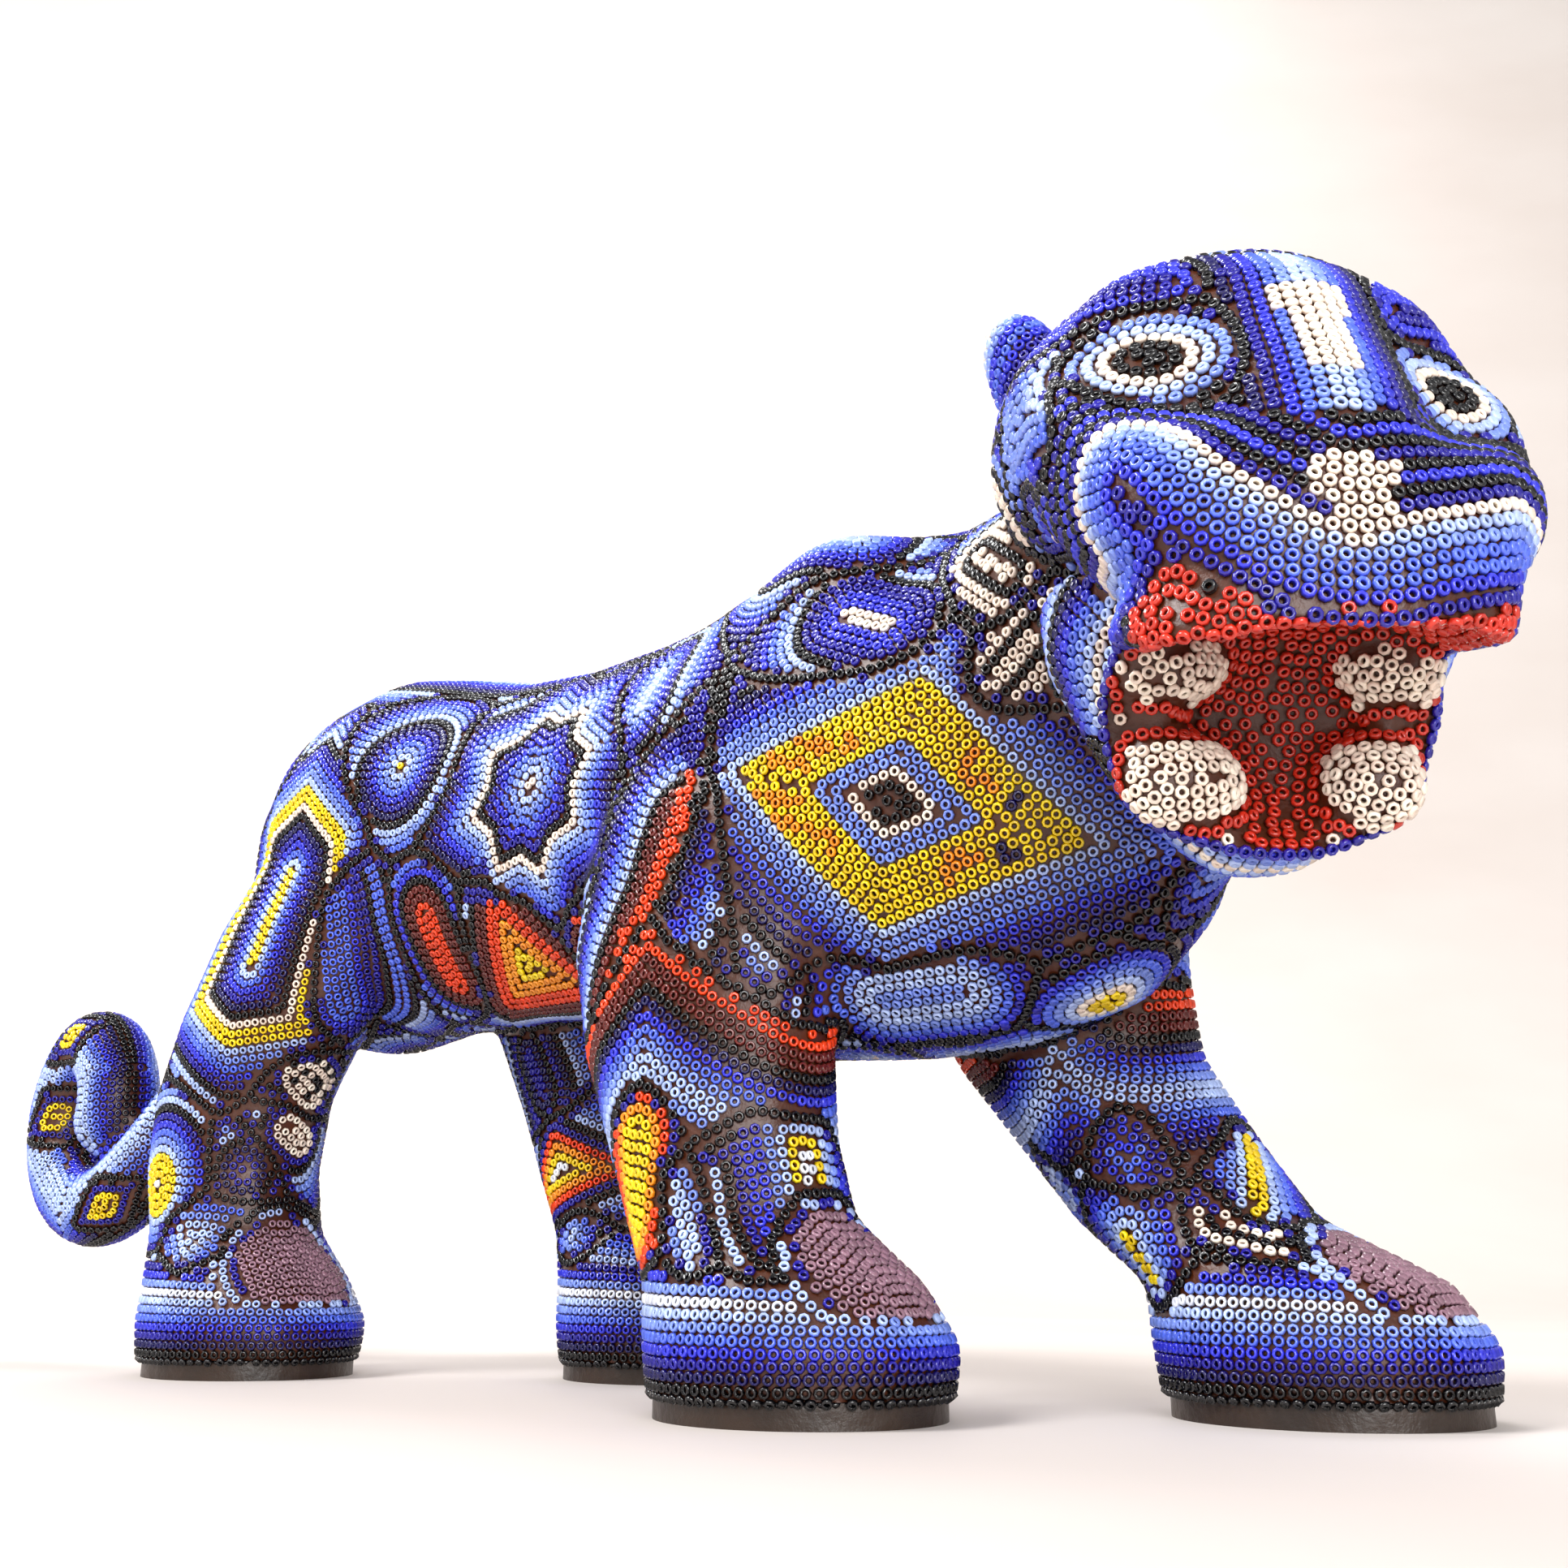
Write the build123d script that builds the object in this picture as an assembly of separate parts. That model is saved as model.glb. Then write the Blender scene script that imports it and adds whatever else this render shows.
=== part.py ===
# Beaded jaguar figure: a pegged wooden carving, a skin of tinted beeswax, and glass seed beads
# pressed into the wax.  Millimetres, +X towards the chest, +Y to the animal's left, +Z up.
# Every form is made three times, one inside the other: the bead face, the wax face and the wood.
import os
from math import cos, radians, sin

from build123d import *

os.makedirs("parts", exist_ok=True)

# ---- driving dimensions -------------------------------------------------------------------
BEAD_COAT = 1.2          # how far the pressed-in beads stand proud of the wax
WAX_COAT = 1.8           # beeswax between the beads and the wood
SOLE_THICKNESS = 3.0     # bare wax pad under each paw
SOLE_INSET = 1.5         # the pad is this much smaller than the paw all round
PEG_RADIUS = 4.0         # glued dowels that hold legs, head and tail to the trunk block
SMALLEST_RADIUS = 2.0    # no section of the wood is thinner than this

PAW_HALF_LENGTH = 29.0
PAW_HALF_WIDTH = 26.0
TOE_REACH, TOE_HEIGHT, TOE_RADIUS = 15.0, 24.0, 17.0   # toe cap: ahead of the paw's middle, up, round
EYE_SPACING = 46.0       # centre to centre, across the face
EYE_RADIUS = 8.5
EYE_LINE = (-16, -1, -1)   # where the cut for the eyes starts, inside the skull
EYE_CUT = 40.0           # how far that cut runs forward through the face
HEAD_TURN = -46.0        # the head looks to the animal's right, degrees
FACE_POINT = Vector(72.5, -37.5, 151.5)   # midway between the eyes
MOUTH_MIDDLE = (10, -4, -52)              # forward, to the left and up from there
MOUTH_REACH = (22.0, 25.0, 18.0)          # the open mouth's half size: forward, to the side, up
TAIL_RADIUS = 11.0

BEAD_FACE, WAX_FACE, WOOD_FACE = 0.0, BEAD_COAT, BEAD_COAT + WAX_COAT
LEVELS = (BEAD_FACE, WAX_FACE, WOOD_FACE)

FORWARD = Vector(cos(radians(HEAD_TURN)), sin(radians(HEAD_TURN)), 0)
LEFTWARD = Vector(-sin(radians(HEAD_TURN)), cos(radians(HEAD_TURN)), 0)
UP = Vector(0, 0, 1)


# ---- section by section forms -------------------------------------------------------------
def ring(centre, across, along, half_across, half_along):
    """An oval about centre, drawn as four quarter curves that meet on its two axes."""
    quarters = []
    for quarter in range(4):
        turns = [radians(90 * quarter + step) for step in (0, 30, 60, 90)]
        points = [centre + across * (half_across * cos(t)) + along * (half_along * sin(t)) for t in turns]
        ends = [along * (half_along * cos(t)) - across * (half_across * sin(t)) for t in (turns[0], turns[-1])]
        quarters.append(Edge.make_spline(points, tangents=[end.normalized() for end in ends]))
    return Wire(quarters)


def lofted(sections, depth):
    """A solid through oval sections, its whole surface drawn in by depth.

    A section is (centre, across, along, half_across, half_along)."""
    rings = []
    for number, (centre, across, along, half_across, half_along) in enumerate(sections):
        if number in (0, len(sections) - 1):
            neighbour = sections[1 if number == 0 else -2][0]
            centre = centre + (neighbour - centre).normalized() * depth
        wide = max(half_across - depth, SMALLEST_RADIUS)
        high = max(half_along - depth, SMALLEST_RADIUS)
        rings.append(ring(centre, across, along, wide, high))
    return Solid.make_loft(rings, ruled=True)


def upright(rows):
    """Sections in upright planes across the body: x, y, z, half width, half height."""
    return [(Vector(x, y, z), Vector(0, 1, 0), UP, wide, high) for x, y, z, wide, high in rows]


def level(rows):
    """Level sections, as down a leg: x, y, z, half length, half width."""
    return [(Vector(x, y, z), Vector(1, 0, 0), Vector(0, 1, 0), long, wide) for x, y, z, long, wide in rows]


def tilted(rows):
    """Sections square to a rising, turning line: x, y, z, half width, half height, rise, turn."""
    sections = []
    for x, y, z, wide, high, rise, turn in rows:
        side = Vector(-sin(radians(turn)), cos(radians(turn)), 0)
        ahead = Vector(cos(radians(turn)) * cos(radians(rise)), sin(radians(turn)) * cos(radians(rise)),
                       sin(radians(rise)))
        sections.append((Vector(x, y, z), side, ahead.cross(side), wide, high))
    return sections


def on_head(forward, left, up):
    """A place told from the point between the eyes: forward, to the animal's left, and up."""
    return FACE_POINT + FORWARD * forward + LEFTWARD * left + UP * up


# ---- trunk: rump, loin, ribs and chest ----------------------------------------------------
TRUNK = upright([
    (-240, 2, 124, 10, 14), (-236, 2, 124, 22, 28), (-226, 2, 125, 34, 42), (-208, 2, 128, 40, 49),
    (-186, 2, 130, 41, 48), (-162, 1, 127, 38, 45), (-138, 0, 123, 36, 42), (-112, 0, 120, 36, 42),
    (-86, 0, 117, 38, 45), (-58, 0, 115, 41, 50), (-30, 0, 114, 41, 51), (-6, 0, 113, 39, 49),
    (14, 0, 112, 34, 43), (28, 0, 112, 24, 32), (36, 0, 112, 10, 16),
])

# ---- neck: thick, rising and turning to the animal's right --------------------------------
NECK = tilted([
    (-34, 0, 117, 39, 46, 12, 0), (-6, 1, 124, 39, 45, 24, -6), (20, 2, 130, 38, 44, 32, -16),
    (40, -4, 138, 36, 41, 34, -30), (54, -13, 147, 32, 35, 30, -40),
])

# ---- head: skull and broad upper muzzle, from the nape to the nose ------------------------
HEAD = [
    (on_head(forward, left, up), LEFTWARD, UP, wide, high)
    for forward, left, up, wide, high in [
        (-62, -1, 3, 12, 12), (-58, -1, 3, 23, 21), (-46, -1, 4, 32, 27), (-30, -2, 4, 37, 30),
        (-14, -3, 0, 37, 32), (0, -4, -10, 36, 33), (10, -5, -18, 34, 29), (20, -6, -28, 31, 21),
        (26, -7, -33, 26, 14), (30, -8, -36, 15, 7),
    ]
]

# ---- lower jaw: hangs open under the muzzle, from its hinge down to the chin --------------
JAW = [
    (on_head(forward, left, up), FORWARD, LEFTWARD, long, wide)
    for up, forward, left, long, wide in [
        (-25, -22, -3, 26, 32), (-36, -20, -4, 25, 31), (-48, -19, -4, 21, 26), (-58, -19, -5, 16, 20),
        (-66, -18, -5, 11, 13), (-71, -17, -6, 5, 6),
    ]
]


# ---- legs: shoulder or thigh, shank, and a wide round paw ---------------------------------
def paw_rows(x, y, ankle_x):
    """The paw's sections from the ankle down to where the bare wax pad begins."""
    return [
        (ankle_x, y, 33, 22, 20), (x - 4, y, 22, 26, 23.5),
        (x, y, 12, PAW_HALF_LENGTH, PAW_HALF_WIDTH),
        (x, y, SOLE_THICKNESS, PAW_HALF_LENGTH - 1, PAW_HALF_WIDTH - 1),
    ]


PAWS = {"front_right": (-35, -29), "front_left": (33, 29), "rear_right": (-212, -29), "rear_left": (-126, 29)}
UPPER_LEGS = {
    "front_right": [(-58, -22, 134, 28, 14), (-59, -26, 108, 32, 19), (-60, -28, 84, 31, 20),
                    (-58, -29, 64, 27, 20), (-54, -29, 47, 23, 20)],
    "front_left": [(-14, 20, 124, 30, 16), (-18, 26, 98, 32, 19), (-17, 28, 79, 29, 20),
                   (-12, 29, 63, 25, 20), (0, 29, 47, 23, 20)],
    "rear_right": [(-196, -18, 132, 32, 18), (-206, -24, 108, 36, 19), (-215, -28, 85, 32, 20),
                   (-225, -29, 66, 26, 20), (-227, -29, 48, 23, 20)],
    "rear_left": [(-162, 18, 118, 32, 16), (-158, 26, 98, 34, 19), (-154, 28, 81, 31, 20),
                  (-148, 29, 63, 27, 20), (-144, 29, 47, 22, 20)],
}
ANKLES = {"front_right": -49, "front_left": 11, "rear_right": -223, "rear_left": -137}
LEGS = {
    name: level(UPPER_LEGS[name] + paw_rows(PAWS[name][0], PAWS[name][1], ANKLES[name])) for name in PAWS
}

# ---- tail: falls behind the rump and curls up on itself -----------------------------------
TAIL_LINE = [
    (-222, 4, 122), (-242, -1, 106), (-257, -12, 84), (-270, -24, 59), (-297, -30, 41), (-320, -30, 57),
    (-319, -30, 76), (-306, -30, 86), (-294, -30, 77), (-293, -30, 65),
]


def tail(depth):
    """One even tube along the tail's line, rounded at the tip."""
    line = Edge.make_spline([Vector(*point) for point in TAIL_LINE])
    start = Plane(origin=line @ 0, z_dir=line % 0)
    tube = sweep(start * Circle(TAIL_RADIUS - depth), path=line)
    return tube + Pos(*TAIL_LINE[-1]) * Sphere(TAIL_RADIUS - depth)


# ---- ears: small rounded cups lying back on the skull -------------------------------------
def ear_sections(side):
    """Level ovals up the ear, from inside the skull to its rounded rim."""
    return [
        (on_head(-40, -2 + side * reach, up), FORWARD, LEFTWARD, long, wide)
        for up, reach, long, wide in [(14, 24, 9, 8), (22, 28, 10, 8), (30, 31, 9, 7), (35, 32, 6, 5)]
    ]


FORMS = {"trunk": TRUNK, "neck": NECK, "head": HEAD, "jaw": JAW}
FORMS.update({f"leg_{name}": sections for name, sections in LEGS.items()})
FORMS["ear_right"] = ear_sections(-1)
FORMS["ear_left"] = ear_sections(1)
TOUCHES = {
    "neck": ["trunk"],
    "head": ["neck"],
    "jaw": ["neck", "head"],
    "tail": ["trunk"],
    "ear_right": ["head"],
    "ear_left": ["head"],
    "leg_front_right": ["trunk", "neck"],
    "leg_front_left": ["trunk", "neck"],
    "leg_rear_right": ["trunk"],
    "leg_rear_left": ["trunk"],
}
SOLIDS = {(name, depth): lofted(sections, depth) for name, sections in FORMS.items() for depth in LEVELS}
SOLIDS.update({("tail", depth): tail(depth) for depth in LEVELS})
REGIONS = list(FORMS) + ["tail"]


def egg(centre, forward, left, up):
    """An oval solid set square to the head."""
    ball = scale(Sphere(1), by=(forward, left, up))
    return Plane(origin=centre, x_dir=FORWARD, z_dir=UP) * ball


# ---- mouth: a wide open hollow cut through muzzle and jaw, lined with red beads ------------
MOUTH_CENTRE = on_head(*MOUTH_MIDDLE)
MOUTH = {depth: egg(MOUTH_CENTRE, *(reach + depth for reach in MOUTH_REACH)) for depth in LEVELS}
HOLLOWED = dict(SOLIDS)
for name in ("head", "jaw"):
    for depth in (WAX_FACE, WOOD_FACE):
        HOLLOWED[name, depth] = SOLIDS[name, depth] - MOUTH[depth]


def without(solid, *others):
    """What is left of a solid once the others are taken away."""
    for other in others:
        solid = solid - other
    return solid


def largest(shape):
    """The main solid of a cut, without crumbs left where two curved faces graze."""
    return max(shape.solids(), key=lambda solid: solid.volume)


def dowel(start, end):
    """A round glued peg from one point to another."""
    run = Vector(*end) - Vector(*start)
    return Plane(origin=start, z_dir=run) * Cylinder(
        PEG_RADIUS, run.length, align=(Align.CENTER, Align.CENTER, Align.MIN)
    )


# ---- wood, wax and beads, region by region ------------------------------------------------
# A region gives way to the regions it is set against: its wood stops at their wood, its wax
# at their wax and its beads at their beads.
nodes = {}
for name in REGIONS:
    earlier = TOUCHES.get(name, [])
    later = [other for other, against in TOUCHES.items() if name in against]
    wood, wax = HOLLOWED[name, WOOD_FACE], HOLLOWED[name, WAX_FACE]
    nodes[f"core_{name}"] = largest(without(wood, *(SOLIDS[other, WOOD_FACE] for other in earlier)))
    nodes[f"wax_{name}"] = largest(without(
        wax, wood, *(SOLIDS[other, WAX_FACE] for other in earlier), *(SOLIDS[other, WOOD_FACE] for other in later)
    ))
    coat = SOLIDS[name, BEAD_FACE] - SOLIDS[name, WAX_FACE]
    if name in ("head", "jaw"):
        coat = coat - MOUTH[WAX_FACE]
    nodes[f"beads_{name}"] = largest(without(
        coat, *(SOLIDS[other, BEAD_FACE] for other in earlier), *(SOLIDS[other, WAX_FACE] for other in later)
    ))

# ---- pegs: one up into the trunk from each leg, one each for neck, head and tail -----------
PEGS = {
    "peg_leg_front_right": [("leg_front_right", "trunk"), (-58, -27, 55), (-58, -27, 106)],
    "peg_leg_front_left": [("leg_front_left", "trunk"), (-14, 27, 55), (-14, 27, 104)],
    "peg_leg_rear_right": [("leg_rear_right", "trunk"), (-214, -26, 66), (-214, -26, 114)],
    "peg_leg_rear_left": [("leg_rear_left", "trunk"), (-154, 26, 60), (-154, 26, 114)],
    "peg_neck": [("trunk", "neck"), (0, 0, 130), (36, -4, 147)],
    "peg_head": [("neck", "head"), (44, -12, 142), (66, -30, 151)],
    "peg_tail": [("trunk", "tail"), (-208, 9, 134), (-244, -4, 102)],
}
for name, (blocks, start, end) in PEGS.items():
    nodes[name] = dowel(start, end)
    for block in blocks:
        nodes[f"core_{block}"] = largest(nodes[f"core_{block}"] - nodes[name])

# ---- red lining of the mouth: the part in the muzzle, and below it the part in the jaw -----
upper_lining = (SOLIDS["head", BEAD_FACE] & MOUTH[WAX_FACE]) - MOUTH[BEAD_FACE]
lower_lining = (SOLIDS["jaw", BEAD_FACE] & MOUTH[WAX_FACE]) - MOUTH[BEAD_FACE] - SOLIDS["head", BEAD_FACE]
nodes["mouth_lining"] = Compound(children=[largest(upper_lining), largest(lower_lining)])

# ---- fangs: four beaded lumps of wax that stand up from the lining -------------------------
FANGS = {
    "fang_upper_right": (-4, -16, -41, 8, 7.5, 6),
    "fang_upper_left": (-4, 9, -41, 8, 7.5, 6),
    "fang_lower_right": (-8, -14, -55, 8, 7, 7),
    "fang_lower_left": (-8, 6, -55, 8, 6.5, 7),
}
for name, (forward, left, up, long, wide, high) in FANGS.items():
    nodes[name] = largest(egg(on_head(forward, left, up), long, wide, high) & MOUTH[BEAD_FACE])

# ---- eyes: a round patch of the face's bead coat, black in cream ---------------------------
for name, side in (("eye_right", -1), ("eye_left", 1)):
    behind, middle, level_line = EYE_LINE
    spot = on_head(behind, middle + side * EYE_SPACING / 2, level_line)
    sight = Plane(origin=spot, z_dir=FORWARD) * Cylinder(
        EYE_RADIUS, EYE_CUT, align=(Align.CENTER, Align.CENTER, Align.MIN)
    )
    nodes[name] = largest(nodes["beads_head"] & sight)
    nodes["beads_head"] = largest(nodes["beads_head"] - sight)

# ---- paws: a mauve toe cap in the bead coat, and a bare wax pad to stand on ----------------
for name, (x, y) in PAWS.items():
    coat = nodes[f"beads_leg_{name}"]
    toe = Pos(x + TOE_REACH, y, TOE_HEIGHT) * Sphere(TOE_RADIUS)
    pad = Pos(x, y, 0) * extrude(
        Ellipse(PAW_HALF_LENGTH - 1 - SOLE_INSET, PAW_HALF_WIDTH - 1 - SOLE_INSET), SOLE_THICKNESS + BEAD_COAT
    )
    nodes[f"toe_cap_{name}"] = largest(coat & toe)
    nodes[f"beads_leg_{name}"] = largest(without(coat, toe, pad))
    nodes[f"sole_{name}"] = pad

# ---- the row's frame: the middle of the footprint box, on the surface it stands on ---------
pieces = {name: Compound(solid.solids()) for name, solid in nodes.items()}
whole = Compound(list(pieces.values())).bounding_box()
middle = Vector((whole.min.X + whole.max.X) / 2, (whole.min.Y + whole.max.Y) / 2, 0)
print("moved by", -middle, "size", whole.size)
for name, piece in pieces.items():
    export_step(Pos(-middle.X, -middle.Y, 0) * piece, f"parts/{name}.step")
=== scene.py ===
from itertools import count as numbers_from
from math import cos, pi, radians, sin

import bpy
import numpy as np
from mathutils import Matrix, Vector
from mathutils.bvhtree import BVHTree
from mathutils.kdtree import KDTree


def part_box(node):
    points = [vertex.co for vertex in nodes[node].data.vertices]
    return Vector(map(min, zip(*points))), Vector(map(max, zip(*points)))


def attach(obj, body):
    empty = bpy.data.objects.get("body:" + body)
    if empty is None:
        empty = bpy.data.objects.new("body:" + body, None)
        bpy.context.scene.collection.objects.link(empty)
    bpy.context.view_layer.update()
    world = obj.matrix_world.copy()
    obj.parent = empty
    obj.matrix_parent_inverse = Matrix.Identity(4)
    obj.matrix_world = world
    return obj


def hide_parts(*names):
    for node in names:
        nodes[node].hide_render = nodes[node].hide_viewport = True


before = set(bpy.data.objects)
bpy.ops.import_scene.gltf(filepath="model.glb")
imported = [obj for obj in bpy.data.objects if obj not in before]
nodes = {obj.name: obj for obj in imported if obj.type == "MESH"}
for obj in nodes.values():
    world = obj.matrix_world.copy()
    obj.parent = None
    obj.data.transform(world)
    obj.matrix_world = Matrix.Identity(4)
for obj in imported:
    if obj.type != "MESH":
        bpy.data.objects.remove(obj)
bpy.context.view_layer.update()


def named(*starts):
    """The carved figure's nodes whose names begin so, in order."""
    return sorted(name for name in nodes if name.startswith(starts))


class Shade:
    """A number or a colour on its way through a finish, so that a sum is written as a sum."""

    def __init__(self, finish, socket):
        self.finish, self.socket = finish, socket

    def joined(self, sort, first, second):
        return self.finish.add("ShaderNodeMath", {"operation": sort}, {0: first, 1: second})

    def __add__(self, other):
        return self.joined("ADD", self, other)

    def __mul__(self, other):
        return self.joined("MULTIPLY", self, other)

    __radd__, __rmul__ = __add__, __mul__


class Finish:
    """One material: a shader, and the nodes that feed it."""

    def __init__(self, name):
        self.material = bpy.data.materials.new(name)
        self.material.use_nodes = True
        self.tree = self.material.node_tree
        self.shader = self.tree.nodes["Principled BSDF"]
        self.place = self.add("ShaderNodeTexCoord", {}, {}, "Object")

    def add(self, sort, settings, sockets, output=0):
        node = self.tree.nodes.new(sort)
        for name, value in settings.items():
            setattr(node, name, value)
        for key, value in sockets.items():
            self.feed(node.inputs[key], value)
        return Shade(self, node.outputs[output])

    def feed(self, socket, value):
        if isinstance(value, Shade):
            self.tree.links.new(value.socket, socket)
        else:
            socket.default_value = value

    def cloud(self, across, detail=3.0, rough=0.5):
        """Soft random patches about so many metres across, from 0 to 1."""
        return self.add("ShaderNodeTexNoise", {}, {
            "Vector": self.place, "Scale": 1 / across, "Detail": detail, "Roughness": rough})

    def mixed(self, share, first, second):
        return self.add("ShaderNodeMix", {"data_type": "RGBA"}, {0: share, 6: first, 7: second}, 2)

    def bumped(self, height, depth):
        return self.add("ShaderNodeBump", {}, {"Height": height, "Distance": depth, "Strength": 1.0})

    def surface(self, **values):
        for name, value in values.items():
            self.feed(self.shader.inputs[name.replace("_", " ")], value)
        return self.material


def linear(red, green, blue):
    """A colour told in the 0 to 255 of a paint card."""
    return tuple((value / 255) ** 2.2 for value in (red, green, blue)) + (1.0,)


def timber(name, pale, dark, ring_width):
    wood = Finish(name)
    rings = wood.add("ShaderNodeTexWave", {"wave_type": "RINGS", "rings_direction": "X"}, {
        "Vector": wood.place, "Scale": 0.3 / ring_width, "Distortion": 4.0, "Detail": 2.0}, 1)
    fleck = wood.cloud(0.004)
    return wood.surface(
        Base_Color=wood.mixed(rings * 0.7 + fleck * 0.3, pale, dark),
        Roughness=0.55 + fleck * 0.25,
        Normal=wood.bumped(rings + fleck, 0.0003),
    )


pine = timber("pine_wood", linear(226, 196, 150), linear(178, 132, 84), 0.004)
dowel = timber("dowel_wood", linear(232, 208, 168), linear(196, 160, 112), 0.0015)
for starts, wood in (("core_", pine), ("peg_", dowel)):
    for name in named(starts):
        nodes[name].data.materials.clear()
        nodes[name].data.materials.append(wood)

# ---- The skin of tinted beeswax -----------------------------------------------------------
# Brown-orange beeswax is warmed, pressed over the wood 1.8 mm thick and modelled by thumb: it
# softens every joint and builds up brows, eyes, muzzle and shoulder.  The beads sit in it, and
# it shows between them.
WAX_GRAIN = 0.0016        # how finely the wax is modelled, metres
BEAD_SINK = 1.05          # the wax lies this far under the beads' tops, mm
WAX_SHARE = 0.4           # how much of its modelling the finished wax keeps, under its beads
paws = [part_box(f"sole_front_{side}") for side in ("right", "left")]
middle = sum((low + high for low, high in paws), Vector()) / 4 * 1000
HOME = np.array([middle.x + 1.0, middle.y, 0.0])      # between the two front paws, on the table
FACE = np.array([72.5, -37.5, 151.5])                 # between the eyes, mm from HOME
HEAD_TURN = radians(-46)
FORWARD = np.array([cos(HEAD_TURN), sin(HEAD_TURN), 0.0])
LEFTWARD = np.array([-sin(HEAD_TURN), cos(HEAD_TURN), 0.0])
UP = np.array([0.0, 0.0, 1.0])


def corners(mesh):
    spots = np.empty(len(mesh.vertices) * 3)
    mesh.vertices.foreach_get("co", spots)
    return spots.reshape(-1, 3)


def facings(mesh):
    arrows = np.empty(len(mesh.vertices) * 3)
    mesh.vertex_normals.foreach_get("vector", arrows)
    return arrows.reshape(-1, 3)


def triangles(mesh):
    mesh.calc_loop_triangles()
    found = np.empty(len(mesh.loop_triangles) * 3, int)
    mesh.loop_triangles.foreach_get("vertices", found)
    return found.reshape(-1, 3)


def placed(name, data):
    """A new object, linked into the scene."""
    thing = bpy.data.objects.new(name, data)
    bpy.context.scene.collection.objects.link(thing)
    return thing


def as_modified(thing):
    """A new mesh holding the thing's shape with its modifiers applied."""
    return bpy.data.meshes.new_from_object(
        thing.evaluated_get(bpy.context.evaluated_depsgraph_get()))


def smoothed(mesh):
    mesh.polygons.foreach_set("use_smooth", [True] * len(mesh.polygons))
    return mesh


def faces_of(mesh):
    return [tuple(face.vertices) for face in mesh.polygons]


COATS = named("beads_", "toe_cap_", "eye_", "mouth_", "fang_")
spots, facets, owner = [], [], []
for number, name in enumerate(COATS):
    base = sum(len(part) for part in spots)
    part = triangles(nodes[name].data)
    spots.append(corners(nodes[name].data))
    facets.append(part + base)
    owner += [number] * len(part)
spots, facets, owner = np.vstack(spots), np.vstack(facets), np.array(owner)
solid_spots, solid_facets = [spots], [facets]
for name in named("wax_", "core_"):
    base = sum(len(part) for part in solid_spots)
    solid_facets.append(triangles(nodes[name].data) + base)
    solid_spots.append(corners(nodes[name].data))
rough_mesh = bpy.data.meshes.new("rough_skin")
rough_mesh.from_pydata(np.vstack(solid_spots).tolist(), [], np.vstack(solid_facets).tolist())
rough = placed("rough_skin", rough_mesh)
pressed = rough.modifiers.new("pressed", "REMESH")
pressed.mode, pressed.voxel_size = "VOXEL", WAX_GRAIN
thumbed = rough.modifiers.new("thumbed", "SMOOTH")
thumbed.factor, thumbed.iterations = 0.5, 7
grid = as_modified(rough)
bpy.data.objects.remove(rough)


def outer_shell(points, polygons):
    """Only the piece of surface that the largest run of faces belongs to."""
    ends = np.array([(face[i - 1], face[i]) for face in polygons for i in range(len(face))])
    group = np.arange(len(points))
    while True:
        before = group.copy()
        least = np.minimum(group[ends[:, 0]], group[ends[:, 1]])
        np.minimum.at(group, ends[:, 0], least)
        np.minimum.at(group, ends[:, 1], least)
        group = group[group]
        if (group == before).all():
            break
    kept = group == np.bincount(group).argmax()
    place = np.cumsum(kept) - 1
    return points[kept], [tuple(place[list(face)]) for face in polygons if kept[face[0]]]


skin_points, skin_faces = outer_shell(corners(grid), faces_of(grid))
unpinched = skin_points * 1000 - HOME     # mm from HOME, before any modelling
skin = unpinched


def in_head(points):
    away = points - FACE
    return away @ FORWARD, away @ LEFTWARD, away @ UP


def lump(across, centre, spread):
    """A smooth hill: 1 at its middle, fading over its spread."""
    total = sum(((value - mid) / width) ** 2 for value, mid, width in zip(across, centre, spread))
    return np.exp(-total / 2)


def mesh_from(name, points, polygons):
    mesh = bpy.data.meshes.new(name)
    mesh.from_pydata((points + HOME).tolist(), [], polygons)
    mesh.transform(Matrix.Scale(0.001, 4))
    return mesh


forward, left, up = in_head(skin)
face_side = 1 / (1 + np.exp(-(forward + 22) / 4))
# hollows round the eyes and beside the bridge: forward shift in mm, middle (left, up), spread
HOLLOWS = [(-8.0, (-27, 0), (9, 11)), (-11.0, (24, -2), (10, 13)), (-3.0, (-22, -16), (8, 5)),
           (-4.0, (17, -17), (7, 5))]
for depth, centre, spread in HOLLOWS:
    shift = depth * lump((left, up), centre, spread) * face_side
    skin = skin + shift[:, None] * FORWARD


MOUTH = (10, -4, -52)     # the middle of the open mouth: forward, left and up of FACE, mm
MOUTH_REACH = np.array([22.0, 25.0, 18.0])


def egg_distance(points):
    """Distance outwards from the mouth's open hollow."""
    away = np.stack(in_head(points), 1) - MOUTH
    first = np.linalg.norm(away / MOUTH_REACH, axis=1)
    second = np.linalg.norm(away / MOUTH_REACH ** 2, axis=1)
    return first * (first - 1) / second


def ramp(value, start, run):
    """Eases from 0 to 1 as value passes start."""
    return 1 / (1 + np.exp(-(value - start) / run))


# the muzzle is pinched a little narrower than the block, and the mouth opened wider and deeper
forward, left, up = in_head(skin)
pinch = 0.13 * ramp(forward, 4, 3) * ramp(-up, 14, 4)
skin = skin - ((left + 4) * pinch)[:, None] * LEFTWARD
forward, left, up = in_head(skin)
lips = np.exp(-(np.maximum(egg_distance(skin), 0) / 5) ** 2) * ramp(forward, -26, 4)
skin = skin - (6.5 * lips * ramp(-up, 50, 4) + 2.0 * lips * ramp(up, -50, 4))[:, None] * UP
widen = np.where(left < -4, -9.0, 4.0) * lips * np.clip(abs(left + 4) / 12, 0, 1)
skin = skin + widen[:, None] * LEFTWARD
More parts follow.
